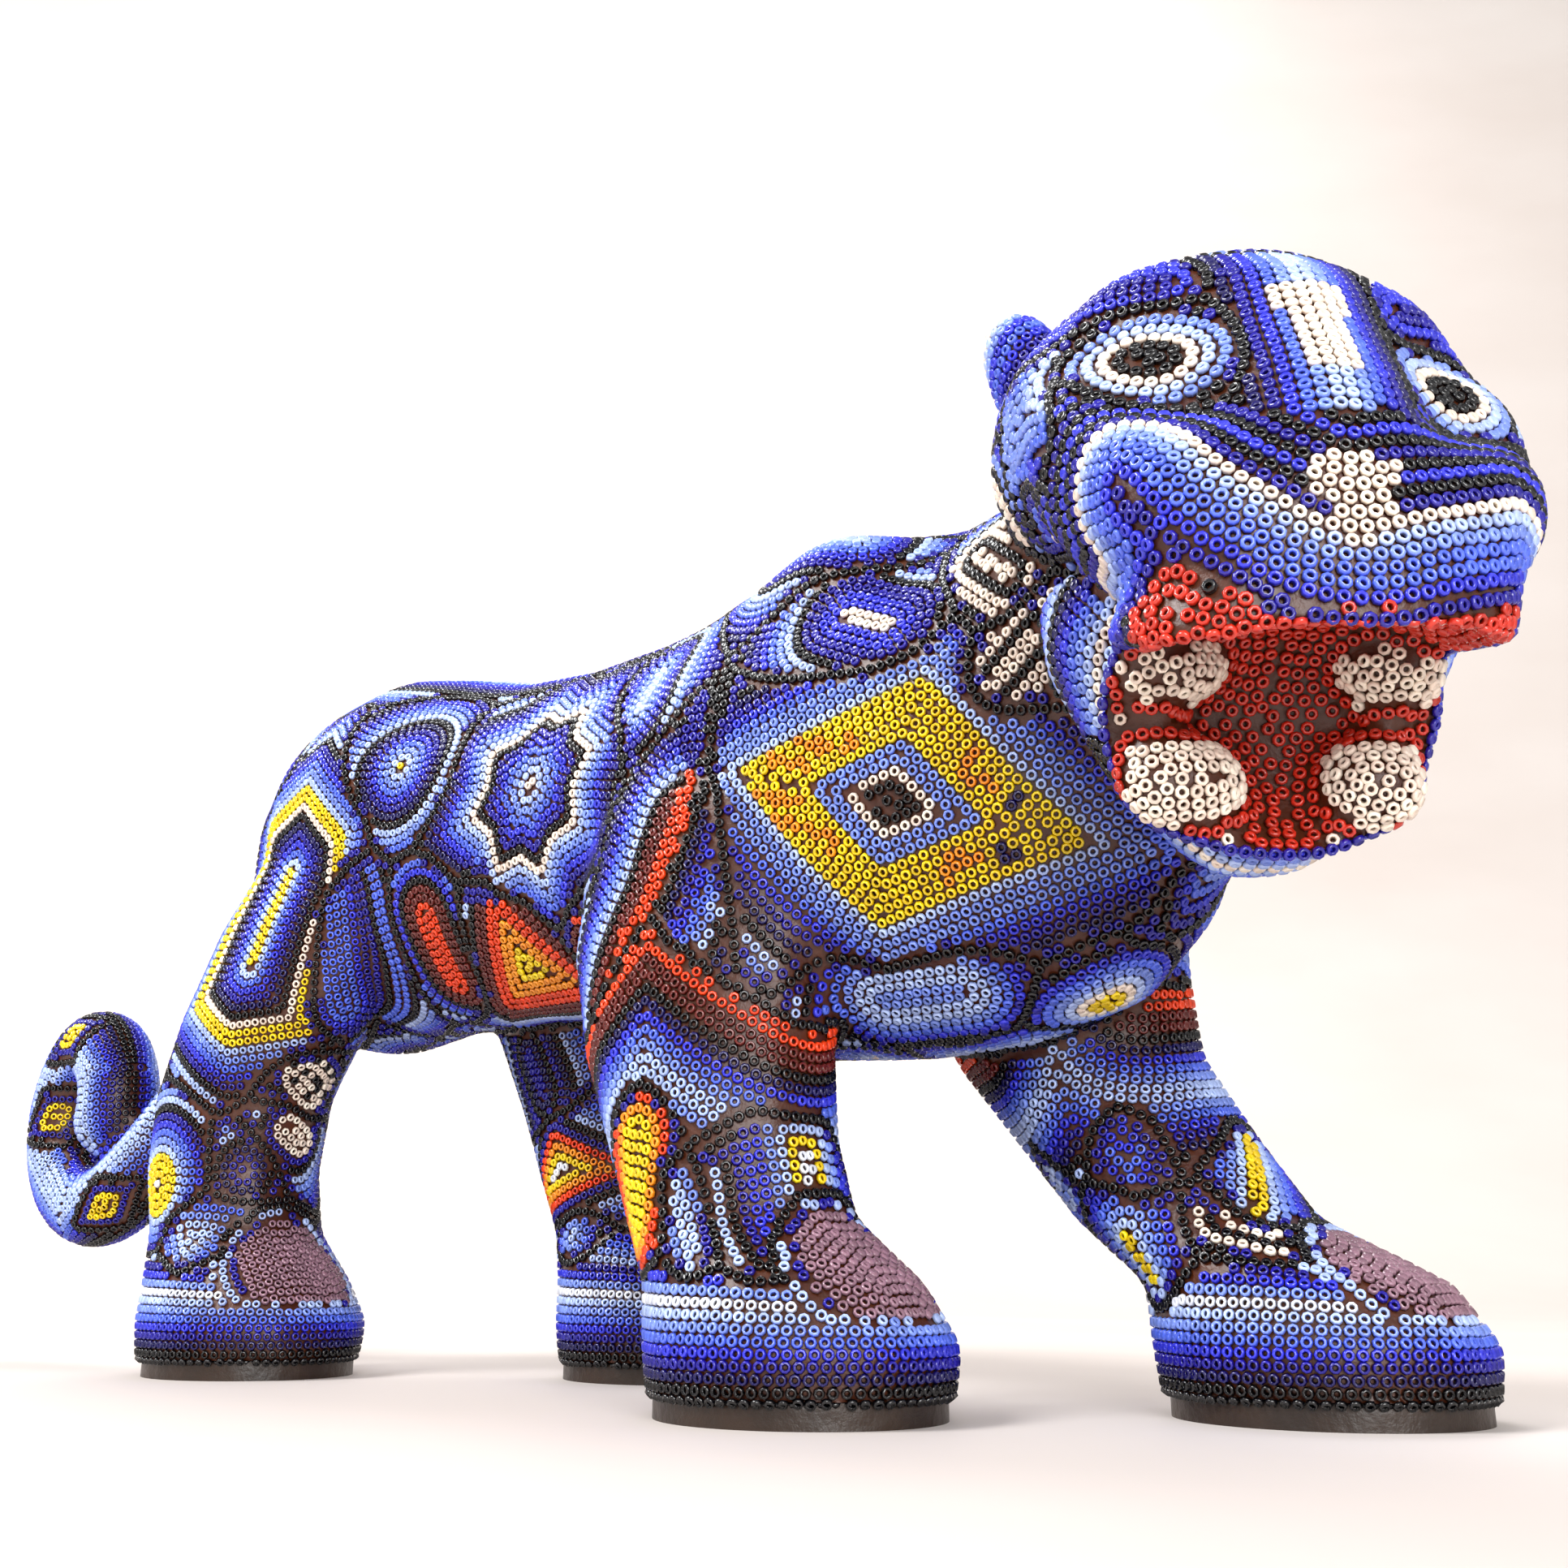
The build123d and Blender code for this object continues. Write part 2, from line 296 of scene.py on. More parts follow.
# the rolled upper lip hangs lowest in the middle
roll = np.exp(-(np.maximum(egg_distance(unpinched), 0) / 9) ** 2) * ramp(forward, 6, 3)
roll = roll * ramp(up, -52, 3) * (0.45 + 0.55 * np.exp(-((left + 4) / 20) ** 2))
skin = skin - (6.5 * roll)[:, None] * UP + (1.5 * roll)[:, None] * FORWARD
forward, left, up = in_head(skin)
# hills pressed up from the face: height in mm, middle (forward, left, up), spread
HILLS = [
    (3.6, (10, -3, 8), (12, 8, 12)), (3.2, (22, -4, -14), (12, 8, 10)),
    (3.4, (6, -26, -1), (9, 7, 6)), (3.2, (-2, 24, -3), (9, 7, 6)),
    (3.2, (0, -24, 15), (9, 9, 5)), (3.4, (-4, 21, 14), (9, 9, 5)),
    (3.5, (14, -27, -26), (12, 10, 9)), (4.5, (12, 22, -27), (12, 10, 9)),
    (2.5, (-34, -36, -3), (12, 12, 12)), (4.5, (-4, 38, -16), (14, 10, 16)),
    (3.0, (-16, 34, 6), (12, 8, 14)),
]
surface = mesh_from("surface", skin, skin_faces)
arrows = facings(surface)
for height, centre, spread in HILLS:
    skin = skin + (height * lump((forward, left, up), centre, spread))[:, None] * arrows
BODY_HILLS = [
    (7.0, (-30, -22, 156), (14, 9, 9)), (4.0, (-38, 22, 154), (14, 9, 9)),
    (3.0, (-186, -30, 150), (18, 12, 14)), (3.0, (-186, 30, 150), (18, 12, 14)),
    (-1.4, (-74, -34, 150), (8, 12, 12)), (-1.4, (-8, -26, 152), (6, 10, 8)),
]
for height, centre, spread in BODY_HILLS:
    skin = skin + (height * lump(skin.T, centre, spread))[:, None] * arrows
surface = mesh_from("surface", skin, skin_faces)
arrows = facings(surface)
skin_triangles = triangles(surface)

wax_skin = placed("wax_skin", mesh_from("full_wax", skin - arrows * BEAD_SINK, skin_faces))
fewer = wax_skin.modifiers.new("fewer_faces", "DECIMATE")
fewer.ratio = WAX_SHARE
wax_mesh = smoothed(as_modified(wax_skin))
wax_skin.modifiers.remove(fewer)
wax_mesh.name = "wax_skin"
wax_skin.data = wax_mesh


def wax_finish(name, pale, dark, gloss):
    wax = Finish(name)
    patches = wax.cloud(0.012)
    thumb = wax.cloud(0.0025, 4.0, 0.6)
    return wax.surface(
        Base_Color=wax.mixed(patches, pale, dark),
        Roughness=gloss + thumb * 0.25,
        Normal=wax.bumped(thumb, 0.0003),
        Subsurface_Weight=0.08,
        Subsurface_Scale=0.002,
    )


beeswax = wax_finish("beeswax", linear(88, 42, 14), linear(44, 19, 8), 0.28)
dark_wax = wax_finish("dark_wax", linear(56, 38, 24), linear(20, 14, 12), 0.30)
wax_mesh.materials.append(beeswax)
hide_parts(*named("wax_", "core_head", "core_jaw"))
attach(wax_skin, "root")
for name in named("sole_"):
    nodes[name].data.materials.clear()
    nodes[name].data.materials.append(dark_wax)

# ---- Glass seed beads: colours, the bead itself, and the order in which they are set ------
# Opaque size 11 seed beads, a little over two millimetres across and open through the middle.
# Each is pressed hole-upwards into the wax beside the last, row against row, with a pin.
PITCH = 2.20              # from bead to bead along a row, mm
ROW = 1.98                # from row to row, mm
SIZES = (0.94, 1.03)      # the smallest and largest bead, against a true one
LEAN = 0.11               # how far a bead may tip off its seat, radians
RNG = np.random.default_rng(11)
CARD = {
    "K": ("black", 14, 14, 18), "N": ("navy", 26, 22, 84), "V": ("violet_blue", 36, 30, 142),
    "C": ("cobalt", 50, 54, 200), "B": ("blue", 80, 104, 220), "P": ("periwinkle", 118, 142, 226),
    "L": ("pale_blue", 168, 188, 238), "W": ("white", 222, 226, 238), "E": ("cream", 240, 222, 206),
    "Y": ("yellow", 240, 204, 22), "O": ("orange", 246, 146, 30), "R": ("red_orange", 232, 66, 22),
    "D": ("brick_red", 192, 46, 30), "M": ("maroon", 98, 34, 30), "A": ("mauve", 140, 106, 120),
}
LETTERS = "".join(CARD)
BATCHES = (0.86, 1.0, 1.12)   # beads of one colour come in slightly darker and paler batches
glass = []
for name, *paint in CARD.values():
    for batch, strength in enumerate(BATCHES):
        bead = Finish(f"bead_{name}_{batch + 1}")
        cloudy = bead.cloud(0.0012)
        colour = tuple(min(value * strength, 0.92) for value in linear(*paint)[:3]) + (1.0,)
        glass.append(bead.surface(
            Base_Color=colour,
            Roughness=0.16 + cloudy * 0.16,
            Normal=bead.bumped(cloudy, 0.00004),
            Coat_Weight=0.35,
            Coat_Roughness=0.08,
        ))


def bead_ring(name, sides, section):
    """One bead standing on its hole: a closed ring drawn from its cut section (reach, height)."""
    points = [(reach * cos(turn), reach * sin(turn), height)
              for turn in (2 * pi * side / sides for side in range(sides)) for reach, height in section]
    count = len(section)
    faces = []
    for side in range(sides):
        ahead = (side + 1) % sides
        for step in range(count):
            after = (step + 1) % count
            faces.append((side * count + step, ahead * count + step,
                          ahead * count + after, side * count + after))
    mesh = bpy.data.meshes.new(name)
    mesh.from_pydata([tuple(value * 0.001 for value in point) for point in points], [], faces)
    return placed(name, smoothed(mesh))


PLAIN_CUT = [(1.08, -0.20), (0.74, 0.56), (0.31, -0.30)]
simple_bead = bead_ring("simple_bead", 7, PLAIN_CUT)
plain_bead = bead_ring("plain_bead", 8, PLAIN_CUT)
fine_bead = bead_ring("fine_bead", 8, [(1.06, -0.30), (1.00, 0.22), (0.66, 0.56), (0.30, -0.25)])


def setting_tree():
    """Sets one bead on every point, hole along the point's facing, each leaning a little its own way."""
    tree = bpy.data.node_groups.new("bead_setting", "GeometryNodeTree")
    sockets = {}
    for name, sort, way in (
            ("Points", "Geometry", "INPUT"), ("Bead", "Object", "INPUT"), ("Lean", "Float", "INPUT"),
            ("Seed", "Int", "INPUT"), ("Beads", "Geometry", "OUTPUT")):
        sockets[name] = tree.interface.new_socket(
            name, in_out=way, socket_type=f"NodeSocket{sort}").identifier
    make, link = tree.nodes.new, tree.links.new
    begin, end = make("NodeGroupInput"), make("NodeGroupOutput")
    facing = make("GeometryNodeInputNamedAttribute")
    facing.data_type = "FLOAT_VECTOR"
    facing.inputs["Name"].default_value = "facing"
    upright = make("FunctionNodeAlignRotationToVector")
    upright.axis = "Z"
    link(facing.outputs["Attribute"], upright.inputs["Vector"])
    lean = make("FunctionNodeRandomValue")
    lean.data_type = "FLOAT_VECTOR"
    for socket, way in (("Min", -1), ("Max", 1)):
        limit = make("ShaderNodeVectorMath")
        limit.operation = "SCALE"
        limit.inputs[0].default_value = (way, way, 3 * way)
        link(begin.outputs["Lean"], limit.inputs["Scale"])
        link(limit.outputs["Vector"], lean.inputs[socket])
    link(begin.outputs["Seed"], lean.inputs["Seed"])
    turned = make("FunctionNodeEulerToRotation")
    link(lean.outputs["Value"], turned.inputs[0])
    leaned = make("FunctionNodeRotateRotation")
    leaned.rotation_space = "LOCAL"
    link(upright.outputs["Rotation"], leaned.inputs["Rotation"])
    link(turned.outputs["Rotation"], leaned.inputs["Rotate By"])
    size = make("FunctionNodeRandomValue")
    size.data_type = "FLOAT"
    size.inputs[2].default_value, size.inputs[3].default_value = SIZES
    link(begin.outputs["Seed"], size.inputs["Seed"])
    shape = make("GeometryNodeObjectInfo")
    link(begin.outputs["Bead"], shape.inputs["Object"])
    put = make("GeometryNodeInstanceOnPoints")
    link(begin.outputs["Points"], put.inputs["Points"])
    link(shape.outputs["Geometry"], put.inputs["Instance"])
    link(leaned.outputs["Rotation"], put.inputs["Rotation"])
    link(size.outputs[1], put.inputs["Scale"])
    real = make("GeometryNodeRealizeInstances")
    link(put.outputs["Instances"], real.inputs["Geometry"])
    last = real.outputs["Geometry"]
    shade = make("GeometryNodeInputNamedAttribute")
    shade.data_type = "INT"
    shade.inputs["Name"].default_value = "shade"
    for number, material in enumerate(glass):
        chosen = make("FunctionNodeCompare")
        chosen.data_type, chosen.operation = "INT", "EQUAL"
        chosen.inputs[3].default_value = number
        link(shade.outputs["Attribute"], chosen.inputs[2])
        tinted = make("GeometryNodeSetMaterial")
        tinted.inputs["Material"].default_value = material
        link(chosen.outputs["Result"], tinted.inputs["Selection"])
        link(last, tinted.inputs["Geometry"])
        last = tinted.outputs["Geometry"]
    link(last, end.inputs["Beads"])
    return tree, sockets


setting, setting_sockets = setting_tree()


def set_beads(name, points, directions, shades, bead, seed):
    """One piece: every bead of it, as a plain mesh."""
    mesh = bpy.data.meshes.new(name + "_places")
    mesh.from_pydata(((points + HOME) * 0.001).tolist(), [], [])
    facing = mesh.attributes.new("facing", "FLOAT_VECTOR", "POINT")
    facing.data.foreach_set("vector", directions.astype(np.float32).ravel())
    shade = mesh.attributes.new("shade", "INT", "POINT")
    shade.data.foreach_set("value", shades.astype(np.int32))
    holder = placed(name + "_places", mesh)
    step = holder.modifiers.new("setting", "NODES")
    step.node_group = setting
    step[setting_sockets["Bead"]] = bead
    step[setting_sockets["Lean"]] = LEAN
    step[setting_sockets["Seed"]] = seed
    made = as_modified(holder)
    bpy.data.objects.remove(holder)
    made.name = name
    for attribute in ("facing", "shade"):
        if attribute in made.attributes:
            made.attributes.remove(made.attributes[attribute])
    return placed(name, made)


# ---- Figures drawn in beads ---------------------------------------------------------------
# The maker starts each figure at its heart and lays row on row about it, changing colour as it
# grows, until it meets its neighbours along a black line.  A figure here is its claim on the
# skin (the lowest claim wins), its rows (mm from its heart), and its colours row by row.
tree_of_coats = BVHTree.FromPolygons(spots.tolist(), facets.tolist())
part_of = np.array([owner[tree_of_coats.find_nearest(place)[2]] for place in skin_points.tolist()])


def tree_of(points):
    """The points, sorted so that the nearest to a place is found quickly."""
    tree = KDTree(len(points))
    for number, place in enumerate(points.tolist()):
        tree.insert(place, number)
    tree.balance()
    return tree


nearest_skin = tree_of(skin)
OUT = 60.0                # a claim raised by this never wins
FANG_GAP = 1.4            # red lining between an upper and a lower fang, mm
GAP_DROP = 0.6            # how far that line lies under half way, mm
CORNER_RISE = (18, 7)     # how far the mouth's right and left corners reach up, mm
MIDLINE = -3.0            # the middle of the face, this far left of FACE, mm
figures = []


def on(*starts):
    """Where the skin belongs to coats with these names."""
    return np.isin(part_of, [number for number, name in enumerate(COATS) if name.startswith(starts)])


def figure(claim, rows, tones, detail=None, outlined=True, piece=None, even=None):
    """tones: a letter of the card for each row, and FADE after the last, unless a star keeps that.
    even: the rows are spaced evenly over the skin, from the figure's own "start" or its "rim"."""
    figures.append({"claim": claim, "rows": rows, "tones": tones, "detail": detail,
                    "outlined": outlined, "piece": piece, "even": even})


def local_frame(centre):
    """The nearest place on the skin, and level and upward directions on it."""
    number = nearest_skin.find(centre)[1]
    normal = arrows[number]
    level = np.cross(UP, normal)
    level = level / np.linalg.norm(level) if np.linalg.norm(level) > 0.2 else np.array([1.0, 0.0, 0.0])
    return skin[number], normal, level, np.cross(normal, level)


def unrolled(centre, turn, points):
    """Each point as (across, upward) mm from a centre, measured over the skin, turned."""
    heart, normal, level, rise = local_frame(centre)
    away = points - heart
    flat = away - np.outer(away @ normal, normal)
    stretch = np.linalg.norm(away, axis=1) / np.maximum(np.linalg.norm(flat, axis=1), 1e-6)
    x, y = (flat @ level) * stretch, (flat @ rise) * stretch
    turn = radians(turn)
    return x * cos(turn) + y * sin(turn), y * cos(turn) - x * sin(turn)


def disc(x, y):
    return np.hypot(x, y)


def lozenge(wide, high):
    return lambda x, y: (abs(x) / wide + abs(y) / high) * wide * high / np.hypot(wide, high)


def oval(half_run):
    """Rows about a short upright line."""
    return lambda x, y: np.hypot(x, np.maximum(abs(y) - half_run, 0))


def star(x, y):
    """Two squares, one turned across the other."""
    slant, fall = (x + y) / 2 ** 0.5, (x - y) / 2 ** 0.5
    return np.minimum(np.maximum(abs(x), abs(y)), np.maximum(abs(slant), abs(fall)))


def flecks(x, y):
    """Small black squares every four millimetres."""
    return np.where((x.round() % 4 < 2) & (y.round() % 4 < 2), "K", "")


def petal_tones(x, y):
    """Six yellow petals round a white eye."""
    far, turn = np.hypot(x, y), np.cos(6 * np.arctan2(y, x))
    petal = (far > 1.6) & (far < 7.2) & (turn > -0.25)
    return np.where(far < 1.6, "W", np.where(petal, "Y", ""))


def sided(*sides):
    """Rows about a straight-sided figure, each side told as (direction in degrees, mm)."""
    least = min(reach for _, reach in sides)

    def rows(x, y):
        return np.maximum.reduce([x * cos(radians(turn)) + y * sin(radians(turn)) - reach
                                  for turn, reach in sides]) + least
    return rows


def spot(centre, tones, shape=disc, turn=0, reach=0.0, where=None, detail=None):
    """A figure round its centre (mm from HOME), turned by degrees; reach lets it grow so far more."""
    x, y = unrolled(centre, turn, skin)
    rows = shape(x, y)
    _, normal, _, _ = local_frame(centre)
    claim = rows - reach + OUT * (arrows @ normal < -0.35)
    if where is not None:
        claim = claim + OUT * ~where
    drawn = None
    if detail:
        drawn = lambda points: detail(*unrolled(centre, turn, points))
    figure(claim, rows, tones, drawn)


def band(points, tones, reach=0.0, where=None, both_ways=False):
    """Rows laid side by side along a line over the skin, or outwards both ways from it."""
    points = np.array(points, float)
    best = np.full(len(skin), 1e9)
    side = np.zeros(len(skin))
    for start, end in zip(points[:-1], points[1:]):
        run = end - start
        share = np.clip(((skin - start) @ run) / (run @ run), 0, 1)
        away = skin - start - share[:, None] * run
        far = np.linalg.norm(away, axis=1)
        closer = far < best
        across = np.einsum("ij,ij->i", np.cross(run, arrows), away)
        best[closer] = far[closer]
        side[closer] = (far * np.sign(across))[closer]
    half = 0 if both_ways else len(tones) * ROW / 2
    claim = abs(side) - half - reach
    if where is not None:
        claim = claim + OUT * ~where
    figure(claim, abs(side) if both_ways else side + half, tones)


FADE = "LPBCVNK"
trunk, neck = on("beads_trunk"), on("beads_neck")
legs = {name: on(f"beads_leg_{name}", f"toe_cap_{name}")
        for name in ("front_right", "front_left", "rear_right", "rear_left")}
knee_drop = 0.8 * np.maximum(skin[:, 0] + 56, 0) + 0.9 * np.maximum(-56 - skin[:, 0], 0)
TOPS = {
    "front_right": 86 - knee_drop,
    "front_left": 70 + 0.15 * (skin[:, 1] + 10) - 0.2 * np.maximum(8 - skin[:, 0], 0),
}
torso = trunk | neck
for name, top in TOPS.items():
    torso = torso | (legs[name] & (skin[:, 2] > top))
    legs[name] = legs[name] & (skin[:, 2] <= top)
tail_part = on("beads_tail")
jaw_part, head_part = on("beads_jaw"), on("beads_head", "eye_")
fang_part = on("fang_")
skin_left = in_head(skin)[1]
for side, here in (("right", skin_left < MIDLINE), ("left", skin_left >= MIDLINE)):
    gap = (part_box(f"fang_lower_{side}")[1].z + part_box(f"fang_upper_{side}")[0].z) * 500 - GAP_DROP
    fang_part = fang_part & ~(here & (abs(skin_points[:, 2] * 1000 - gap) < FANG_GAP / 2))
inner_mouth = on("mouth_", "fang_") & ~fang_part
forward, left, up = in_head(skin)

# ---- Beads of the head --------------------------------------------------------------------
# A pale T runs down the bridge between two black and cream eyes.  Bands follow the lips to the
# mouth's corners, round a cream nose.  The mouth is lined with red, and its fangs are cream.
from_mouth = egg_distance(unpinched)
facing_ahead = arrows @ FORWARD
beside = left - MIDLINE - 0.05 * up
in_front = (forward > -14) & head_part


def bridge_tones(points):
    """A pale T on the bridge: wide under the forehead, a narrow stem below."""
    _, side, height = in_head(points)
    side = abs(side - MIDLINE - 0.05 * height)
    pale = ((height > 2) & (height < 9) & (side < 5.5)) | ((height > -12) & (height <= 2) & (side < 3.4))
    return np.where(pale, "E", "")


bridge_side = abs(beside)
figure(np.maximum.reduce([bridge_side - 13.5, up - 20, -22 - up]) + OUT * ~in_front,
       beside + 13.9, "KNVCBPLLPBCVNK*", bridge_tones, outlined=False)
figure(np.maximum.reduce([bridge_side - 13.5, up + 22, -29 - up]) + OUT * ~in_front,
       -22 - up + 0.012 * beside ** 2, "CNK*", outlined=False, even="start")


def by_face(place):
    """A place told as forward, left and up of FACE."""
    return FACE + place[0] * FORWARD + place[1] * LEFTWARD + place[2] * UP


def face_spot(side, height, tones, shape=disc, turn=0, reach=0.0, piece=None):
    """A figure on the front of the face, told as it is seen from in front."""
    turn = radians(turn)
    x, y = left - side, up - height
    x, y = x * cos(turn) + y * sin(turn), y * cos(turn) - x * sin(turn)
    rows = shape(x, y)
    figure(rows - reach + OUT * ~((forward > -22) & head_part & (facing_ahead > -0.15)), rows, tones,
           piece=piece)


face_spot(-25, -1, "KKELPK", oval(0.9), 60, 14.0, "eye_right")
face_spot(22, -3, "KKELPK", oval(0.9), -60, 11.0, "eye_left")
face_spot(-25, 16, "VCCCVK", oval(5), 75, 7)
face_spot(22, 14, "VCCCVK", oval(5), -70, 7)
face_spot(-22, -16.5, "VCVK", oval(6), 78, 3.5)
face_spot(19, -17, "VCVK", oval(5), -78, 3.5)
face_spot(-3, 26, "PPBBCVK", oval(5), 90, 3)


def lip_tones(points):
    """The nose leather: a cream patch, broad above and narrow where it meets the lip."""
    _, side, height = in_head(points)
    half = 2.6 + np.clip((height + 39) / 11, 0, 1) * 4.6
    nose = (abs(side - MIDLINE + 2) < half) & (height > -40) & (height < -27)
    return np.where(nose, "E", "")


# the mouth's corners reach up, the right one most, and the rows of the lip sweep up with them
right_out, left_out = np.clip(-beside / 30, 0, 1.1), np.clip(beside / 30, 0, 1.1)
ahead = np.clip((facing_ahead - 0.1) / 0.4, 0, 1) * np.clip((forward + 16) / 8, 0, 1)
from_lip = from_mouth - (CORNER_RISE[0] * right_out ** 2.1 + CORNER_RISE[1] * left_out ** 1.6) * ahead
upper = head_part & (forward > -30) & (up > -60)
figure(from_lip - 20 + OUT * ~upper, from_lip, "VCBBPLEVKCKVKCKVKCK", lip_tones,
       outlined=False, even="start")
inner_mouth = inner_mouth | (upper & (from_lip < 0))
lower = jaw_part | (head_part & ~upper)
figure(from_mouth - 9 + OUT * ~lower, from_mouth, "VCBPLE", outlined=False, even="start")
figure(np.where(inner_mouth, -50.0, OUT), forward, "D*", outlined=False, piece="mouth",
       even="rim")
figure(np.where(fang_part, -55.0, OUT), forward, "E*", outlined=False, piece="fangs", even="rim")
for place, tones in (((-34, -38, -6), "EKEEKPC"), ((-16, -38, -22), "ECBVK"), ((-4, 36, -10), "ECCBVK"),
                     ((-24, 30, -18), "EKEEKPC"), ((-44, -18, 24), "YLPBCVK"), ((-44, 14, 24), "YLPBCVK"),
                     ((-20, -14, 26), "ECVCVK"), ((-20, 10, 26), "ECVCVK"), ((-34, -2, 32), "LPBCVK"),
                     ((-30, -34, 14), "CBPBCK"), ((-30, 30, 14), "CBPBCK")):
    spot(by_face(place), tones, where=head_part, reach=-2)
for place, tones in (((-18, -28, -54), "LPBCVK"), ((-18, 18, -54), "YLPBCVK"), ((-16, -4, -72), "YYLPBCVK"),
                     ((-30, -18, -60), "LPBCVK"), ((-30, 10, -60), "LPBCVK")):
    spot(by_face(place), tones, where=lower, reach=-3)
for side in ("right", "left"):
    ear = on(f"beads_ear_{side}")
    figure(np.where(ear, -8.0, OUT), skin[:, 2] * 0, "KNVCBCPLE*", even="rim")

# ---- Beads of the neck, chest, flanks and back --------------------------------------------
# Each shoulder carries a yellow diamond, each flank an eight-pointed star over a red band, and
# stripes run down the spine.  Small discs and ovals fill what is left.


def hide_marks(x, y):
    """Orange angle lines and small navy pairs on the yellow hide."""
    rise = abs(y)
    tone = np.full(x.shape, "", dtype="<U1")
    tone[(abs(rise - 7.6) < 1.1) & (x > -24) & (x < -11)] = "O"
    tone[(abs(rise - 3.4) < 1.1) & (x > -30) & (x < -19)] = "O"
    tone[(abs(x + 11) < 1.1) & (rise > 7) & (rise < 12)] = "O"
    tone[(abs(x - 13) < 1.1) & (rise > 6) & (rise < 12)] = "O"
    tone[(abs(rise - 7) < 1.1) & (x > 13) & (x < 19)] = "O"
    tone[(x > 21) & (x < 24.5) & (rise < 6) & (rise > 3.2)] = "N"
    return tone


DIAMOND = "KKEPP" + "YYYYY" + "LPPBCVNK"
for side in (-1, 1):
    spot((-6, 37 * side, 102), DIAMOND, lozenge(36, 23), 19 * side, 20, torso, hide_marks)
    spot((-14, 34 * side, 139), "ECCVVK", oval(6), 60 * -side, 4, torso)
    spot((15, 33 * side, 141), "EKEEK", oval(7), 50 * -side, 0, torso)
    spot((19, 36 * side, 122), "EKEELPBK", oval(6), -60 * -side, 0, torso)
    spot((-31, 22 * side, 160), "LPBCVK", oval(9), 80, 3, torso)
    spot((-107, 36 * side, 125), "ELPBCVK" + "ELPBCVNK", star, 10, 17, torso)
    spot((-157, 36 * side, 140), "YLPBCVNK", disc, 0, 9, torso)
    spot((-74, 34 * side, 142), "LPBCVK", oval(7), 10, 1, torso)
    band([(-54, 44 * side, 110), (-59, 47 * side, 93), (-72, 46 * side, 69)], "RRMMK", 0.4,
         torso | legs["front_right"])
    spot((-121, 23 * side, 89), "YYOORRMMK", sided((35, 6), (145, 6), (-90, 6)), 0, 10, trunk)
    spot((-96, 26 * side, 90), "MMMRK", disc, 0, 2, trunk)
    spot((-150, 26 * side, 95), "RRMMKCBK", oval(9), 10 * side, 2, trunk)
    spot((-215, 30 * side, 148), "ELPBCVK", disc, 0, 2, torso)
    spot((-232, 18 * side, 128), "YLPBCVK", disc, 0, 0, torso)
    spot((-14, 20 * side, 71), "PLLPBCK", oval(8), 90, 0, torso)
spot((12, 0, 70), "YYELPBCK", disc, 0, 2, torso)
spot((34, 2, 112), "YYLPBCVK", lozenge(20, 26), 0, 4, torso)
for x, tones in ((-40, "ELPBCK"), (-68, "CBLBCK"), (-98, "YLPBCVK"), (-130, "LPBCVK"), (-170, "ELPBCVK")):
    spot((x, 0, 66), tones, disc, 0, 0, trunk)
RIDGE = [(-232, 2, 156), (-208, 2, 177), (-162, 1, 165), (-112, 0, 162), (-70, 0, 165), (-30, 0, 165),
         (10, 2, 176)]
band(RIDGE, "EKCBPLBCVNK", 6, torso, True)

# ---- Beads of the legs --------------------------------------------------------------------
# Level rows climb each foot to a mauve toe cap edged in pale blue.  The front legs start under
# red rows, the haunches carry a long six-sided figure, and small flowers sit above the feet.
PAWS = {      # the middle of each paw, mm from HOME
    "front_right": (-35, -29), "front_left": (33, 29), "rear_right": (-212, -29), "rear_left": (-126, 29),
}
TOE_RADIUS = 17.5         # a toe cap is the part of the foot within a ball of this size, mm
CAP_EDGE = 3.9            # the width of the two pale rows round it, mm
FOOT_TOP = 19.5           # the level rows end near this height, mm
SOLE_TOP = 2.6            # and begin here, mm
for name, (x, y) in PAWS.items():
    leg = legs[name]
    height = skin[:, 2]
    dome = np.linalg.norm(skin - (x + 15, y, 22), axis=1) - TOE_RADIUS
    toe = leg & (height > 17.5) & (skin[:, 0] > x - 12)
    cap = toe & (dome < -CAP_EDGE)
    figure(np.where(cap, -30.0, OUT), abs(skin[:, 1] - y), "A*",
           outlined=False, piece=f"toe_cap_{name}", even="start")
    figure(np.where(toe & ~cap & (dome < 0.1), -30.0, OUT), dome + 3.95, "VL*", outlined=False)
    figure(height - FOOT_TOP + OUT * ~leg, height - SOLE_TOP, "KKNVCBPLWPCV", outlined=False, even="start")
for name, top in TOPS.items():
    below = (top - skin[:, 2]) * 0.86
    figure(abs(below - 9) - 9 - 3 + OUT * ~legs[name], below, "RRMMKNCBPL", outlined=False, even="start")
leg = legs["front_right"]
spot((-28, -33, 42), "WYLPCCVKL", sided((0, 6), (90, 8), (180, 6), (-90, 8)), 0, 14, leg)
spot((-57, -48, 40), "YYORRMK", oval(8), -8, 5, leg)
spot((-44, -44, 30), "LPKLK", oval(7), 30, 0, leg)
spot((-78, -30, 44), "LPBCVK", oval(6), 0, 0, leg)
spot((-50, -10, 42), "YLPBCVK", oval(6), 0, 0, leg)
leg = legs["front_left"]
spot((8, 10, 50), "CCBCVVK", lozenge(10, 16), 10, 6, leg)
spot((10, 12, 26), "YLPBCVK", oval(4), 15, 6, leg)
spot((27, 24, 42), "YLPBCVK", oval(8), -30, 4, leg)
spot((30, 13, 34), "EKEKCK", oval(4), 60, 2, leg)
spot((-18, 10, 44), "LPLBCVK", oval(9), 20, 2, leg)
spot((2, 49, 44), "YYORRMK", oval(8), 0, 4, leg)
spot((-26, 30, 50), "LPBCVK", oval(8), 0, 0, leg)
